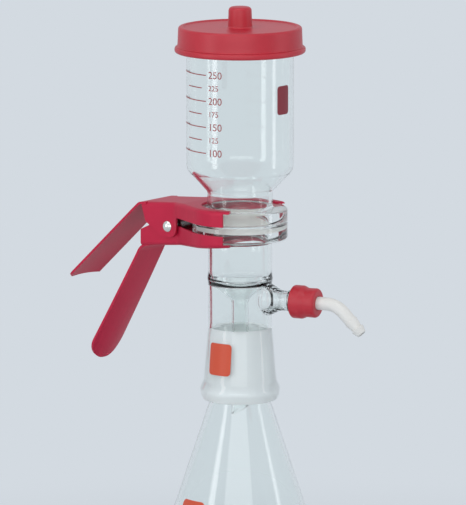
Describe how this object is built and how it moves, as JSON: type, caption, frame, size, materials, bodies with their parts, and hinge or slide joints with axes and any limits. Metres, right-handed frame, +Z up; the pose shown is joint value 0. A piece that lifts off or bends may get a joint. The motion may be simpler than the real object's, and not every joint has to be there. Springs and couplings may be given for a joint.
{
  "type": "vacuum filtration unit",
  "caption": "Glass vacuum filtration unit: graduated funnel with a lid, clamped to a fritted base on a conical flask, with a side arm and a bent hose connector.",
  "frame": {"origin": "on the flask's axis, at the plane the flask stands on", "axes": "+Z up along the axis of flask, base and funnel; +X along the clamp's open jaws, with the clamp's handles at -X; the side arm points 13 degrees from +X towards +Y"},
  "size_m": [0.2112, 0.135, 0.4041],
  "materials": {
    "clear_glass": "clear polished borosilicate glass",
    "sintered_glass": "white sintered",
    "membrane": "matt white membrane",
    "red_moulding": "semi-gloss red",
    "red_sheet": "red anodised",
    "rivet_metal": "bright",
    "spring_wire": "drawn wire",
    "seal_rubber": "matt silicone",
    "white_moulding": "satin white"
  },
  "bodies": {
    "flask": {"flask": "clear_glass"},
    "base": {"filter_base": "clear_glass", "joint_socket": "clear_glass", "drip_tube": "clear_glass", "side_arm": "clear_glass", "frit_disc": "sintered_glass", "membrane_filter": "membrane", "funnel": "clear_glass", "pivot_rivet": "rivet_metal", "clamp_spring": "spring_wire"},
    "lid": {"lid": "red_moulding"},
    "upper_lever": {"clamp_upper_lever": "red_sheet"},
    "lower_lever": {"clamp_lower_lever": "red_sheet"},
    "seal": {"cap_seal": "seal_rubber"},
    "cap": {"side_arm_cap": "red_moulding"},
    "connector": {"hose_connector": "white_moulding"}
  },
  "joints": [
    {"name": "base_lift", "type": "slide", "parent": "flask", "child": "base", "axis": [0, 0, 1], "range_m": [0, 0.06]},
    {"name": "lid_lift", "type": "slide", "parent": "base", "child": "lid", "axis": [0, 0, 1], "range_m": [0, 0.03]},
    {"name": "clamp_squeeze", "type": "hinge", "parent": "base", "child": "upper_lever", "pos_m": [-0.0458, 0, 0.26294], "axis": [0, -1, 0], "range_deg": [0, 11], "stiffness_Nm_per_rad": 0.8, "springref_deg": -34.38, "deforming": ["clamp_spring"]},
    {"name": "lower_jaw", "type": "hinge", "parent": "base", "child": "lower_lever", "pos_m": [-0.0458, 0, 0.26294], "axis": [0, -1, 0], "range_deg": [-11, 0]},
    {"name": "seal_travel", "type": "slide", "parent": "base", "child": "seal", "axis": [0.9744, 0.225, 0], "range_m": [0, 0.00752]},
    {"name": "cap_turn", "type": "hinge", "parent": "seal", "child": "cap", "pos_m": [0, 0, 0.22074], "axis": [0.9744, 0.225, 0], "range_deg": [0, 1080]},
    {"name": "connector_swivel", "type": "hinge", "parent": "seal", "child": "connector", "pos_m": [0, 0, 0.22074], "axis": [0.9744, 0.225, 0], "range_deg": [-180, 180]}
  ],
  "couplings": [
    {"joint": "lower_jaw", "follows": "clamp_squeeze", "ratio": -1},
    {"joint": "seal_travel", "follows": "cap_turn", "m_per_rad": 0.00039789}
  ]
}
